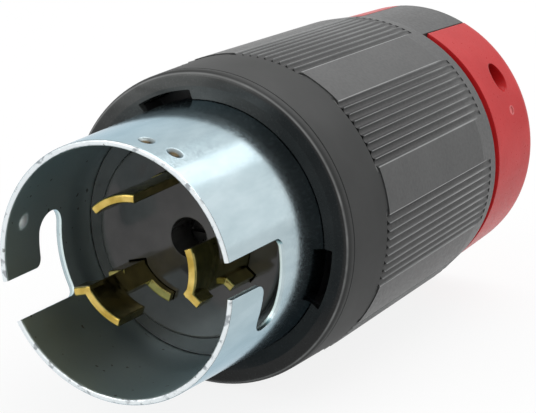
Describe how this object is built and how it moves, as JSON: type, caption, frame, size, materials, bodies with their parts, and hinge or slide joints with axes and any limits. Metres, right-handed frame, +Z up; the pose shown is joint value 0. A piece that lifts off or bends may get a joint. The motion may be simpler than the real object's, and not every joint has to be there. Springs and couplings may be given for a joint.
{
  "type": "locking power plug",
  "caption": "Heavy-duty locking plug for a generator cord: slotted steel shell around three curved brass blades, ribbed grip sleeve and two-jaw cord clamp.",
  "frame": {"origin": "on the plug's axis, in the plane of the front ring's face", "axes": "+Y along the axis towards the cord, +Z up as the plug lies, +X to the right seen from the blades"},
  "size_m": [0.0636, 0.125, 0.0636],
  "materials": {
    "zinc_steel": "bright zinc plate",
    "screw_steel": "plated screw",
    "black_steel": "blackened screw",
    "brass": "plain",
    "face_plastic": "dark moulded face",
    "block_plastic": "dark moulded block",
    "housing_plastic": "grey moulded nylon",
    "clamp_plastic": "red moulded nylon",
    "seal_rubber": "black rubber"
  },
  "bodies": {
    "plug_body": {"ground_shell": "zinc_steel", "blade_carrier": "face_plastic", "terminal_block": "block_plastic", "ground_strap": "brass", "strap_rivet": "screw_steel", "centre_screw": "black_steel", "centre_nut": "screw_steel", "front_ring": "housing_plastic", "grip_sleeve": "housing_plastic", "body_screws": "screw_steel", "dust_seal": "seal_rubber", "blade_a": "brass", "blade_b": "brass", "blade_c": "brass", "terminal_lug_a": "brass", "terminal_lug_b": "brass", "terminal_lug_c": "brass", "terminal_lug_ground": "brass"},
    "right_jaw": {"cord_jaw_a": "clamp_plastic"},
    "left_jaw": {"cord_jaw_b": "clamp_plastic"},
    "right_jaw_screw": {"jaw_screw_a": "screw_steel"},
    "left_jaw_screw": {"jaw_screw_b": "screw_steel"},
    "wire_plate_a": {"pressure_plate_a": "brass"},
    "wire_screw_a": {"terminal_screw_a": "screw_steel"},
    "wire_plate_b": {"pressure_plate_b": "brass"},
    "wire_screw_b": {"terminal_screw_b": "screw_steel"},
    "wire_plate_c": {"pressure_plate_c": "brass"},
    "wire_screw_c": {"terminal_screw_c": "screw_steel"},
    "wire_plate_ground": {"pressure_plate_ground": "brass"},
    "wire_screw_ground": {"terminal_screw_ground": "screw_steel"}
  },
  "joints": [
    {"name": "right_jaw_slide", "type": "slide", "parent": "plug_body", "child": "right_jaw", "axis": [0.9919, 0, -0.1271], "range_m": [0, 0.0035]},
    {"name": "left_jaw_slide", "type": "slide", "parent": "plug_body", "child": "left_jaw", "axis": [-0.9919, 0, 0.1271], "range_m": [0, 0.0035]},
    {"name": "right_jaw_screw_turn", "type": "hinge", "parent": "right_jaw", "child": "right_jaw_screw", "pos_m": [0.00236, 0.0817, 0.01845], "axis": [0.9919, 0, -0.1271], "range_deg": [0, 1867.2]},
    {"name": "left_jaw_screw_turn", "type": "hinge", "parent": "left_jaw", "child": "left_jaw_screw", "pos_m": [-0.00236, 0.0817, -0.01845], "axis": [-0.9919, 0, 0.1271], "range_deg": [0, 1867.2]},
    {"name": "wire_plate_a_slide", "type": "slide", "parent": "plug_body", "child": "wire_plate_a", "axis": [0.3665, 0, -0.9304], "range_m": [0, 0.004]},
    {"name": "wire_screw_a_turn", "type": "hinge", "parent": "wire_plate_a", "child": "wire_screw_a", "pos_m": [-0.00733, 0.0155, 0.01861], "axis": [0.3665, 0, -0.9304], "range_deg": [0, 1440.5]},
    {"name": "wire_plate_b_slide", "type": "slide", "parent": "plug_body", "child": "wire_plate_b", "axis": [0.6157, 0, 0.788], "range_m": [0, 0.004]},
    {"name": "wire_screw_b_turn", "type": "hinge", "parent": "wire_plate_b", "child": "wire_screw_b", "pos_m": [-0.01231, 0.0155, -0.01576], "axis": [0.6157, 0, 0.788], "range_deg": [0, 1440.5]},
    {"name": "wire_plate_c_slide", "type": "slide", "parent": "plug_body", "child": "wire_plate_c", "axis": [-1, 0, 0.0087], "range_m": [0, 0.004]},
    {"name": "wire_screw_c_turn", "type": "hinge", "parent": "wire_plate_c", "child": "wire_screw_c", "pos_m": [0.02, 0.0155, -0.00017], "axis": [-1, 0, 0.0087], "range_deg": [0, 1440.5]},
    {"name": "wire_plate_ground_slide", "type": "slide", "parent": "plug_body", "child": "wire_plate_ground", "axis": [-0.5664, 0, -0.8241], "range_m": [0, 0.0025]},
    {"name": "wire_screw_ground_turn", "type": "hinge", "parent": "wire_plate_ground", "child": "wire_screw_ground", "pos_m": [0.01133, 0.0155, 0.01648], "axis": [-0.5664, 0, -0.8241], "range_deg": [0, 900.5]}
  ],
  "couplings": [
    {"joint": "left_jaw_slide", "follows": "right_jaw_slide", "ratio": 1},
    {"joint": "right_jaw_screw_turn", "follows": "right_jaw_slide", "rad_per_m": 9308.4},
    {"joint": "left_jaw_screw_turn", "follows": "right_jaw_slide", "rad_per_m": 9308.4},
    {"joint": "wire_screw_a_turn", "follows": "wire_plate_a_slide", "rad_per_m": 6283.2},
    {"joint": "wire_screw_b_turn", "follows": "wire_plate_b_slide", "rad_per_m": 6283.2},
    {"joint": "wire_screw_c_turn", "follows": "wire_plate_c_slide", "rad_per_m": 6283.2},
    {"joint": "wire_screw_ground_turn", "follows": "wire_plate_ground_slide", "rad_per_m": 6283.2}
  ]
}
